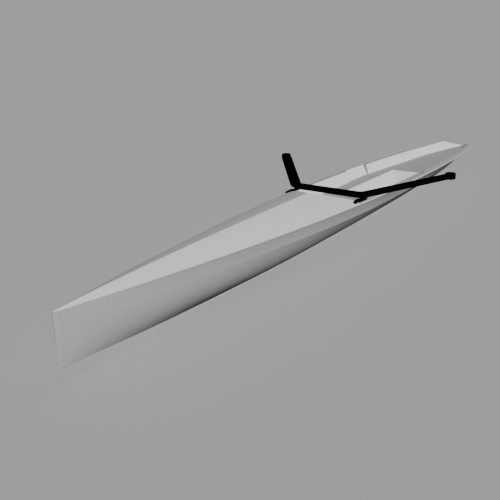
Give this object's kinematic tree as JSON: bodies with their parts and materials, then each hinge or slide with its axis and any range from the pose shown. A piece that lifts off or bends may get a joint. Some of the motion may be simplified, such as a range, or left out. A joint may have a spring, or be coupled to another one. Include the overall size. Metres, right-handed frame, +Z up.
{
  "type": "coastal rowing boat",
  "caption": "Slender plumb-bowed rowing boat with a peaked foredeck, a low open stern, a cockpit with a footwell and a black wing rigger.",
  "frame": {"origin": "amidships on the centreline, at the estimated waterline of the boat afloat", "axes": "+X to the bow, +Y to port, +Z up"},
  "size_m": [6, 1.668, 0.5335],
  "materials": {
    "hull_gelcoat": "pale grey gelcoat, satin gloss",
    "deck_gelcoat": "pale grey gelcoat, satin",
    "floor_gelcoat": "pale grey non-slip gelcoat, matt",
    "strip_rubber": "grey extruded rubbing strip, matt",
    "wing_carbon": "black lacquered carbon composite",
    "fitting_black": "black moulded plastic"
  },
  "bodies": {
    "root": {"bulkhead_port": "deck_gelcoat", "bulkhead_starboard": "deck_gelcoat", "floor_beside_well_port": "floor_gelcoat", "floor_beside_well_starboard": "floor_gelcoat", "floor_seat": "floor_gelcoat", "floor_stern": "floor_gelcoat", "foredeck_port": "deck_gelcoat", "foredeck_starboard": "deck_gelcoat", "hull_afterbody": "hull_gelcoat", "hull_beside_well_port": "hull_gelcoat", "hull_beside_well_starboard": "hull_gelcoat", "hull_forebody": "hull_gelcoat", "hull_keel_under_well": "hull_gelcoat", "hull_under_seat": "hull_gelcoat", "sheer_strip_port": "strip_rubber", "sheer_strip_starboard": "strip_rubber", "side_deck_port": "deck_gelcoat", "side_deck_starboard": "deck_gelcoat", "side_tank_aft_port": "deck_gelcoat", "side_tank_aft_starboard": "deck_gelcoat", "side_tank_fore_port": "deck_gelcoat", "side_tank_fore_starboard": "deck_gelcoat", "side_tank_recess_port": "deck_gelcoat", "side_tank_recess_starboard": "deck_gelcoat", "stem": "hull_gelcoat", "stern_tip": "deck_gelcoat", "well_base": "floor_gelcoat", "well_front": "floor_gelcoat", "well_heel_ramp": "floor_gelcoat", "well_side_port": "floor_gelcoat", "well_side_starboard": "floor_gelcoat", "wing_arm_port": "wing_carbon", "wing_arm_starboard": "wing_carbon", "wing_boss_port": "fitting_black", "wing_boss_starboard": "fitting_black", "wing_crossbar": "wing_carbon", "wing_elbow_port": "wing_carbon", "wing_elbow_starboard": "wing_carbon", "wing_foot_port": "wing_carbon", "wing_foot_starboard": "wing_carbon", "wing_pad_port": "fitting_black", "wing_pad_starboard": "fitting_black"}
  },
  "joints": []
}
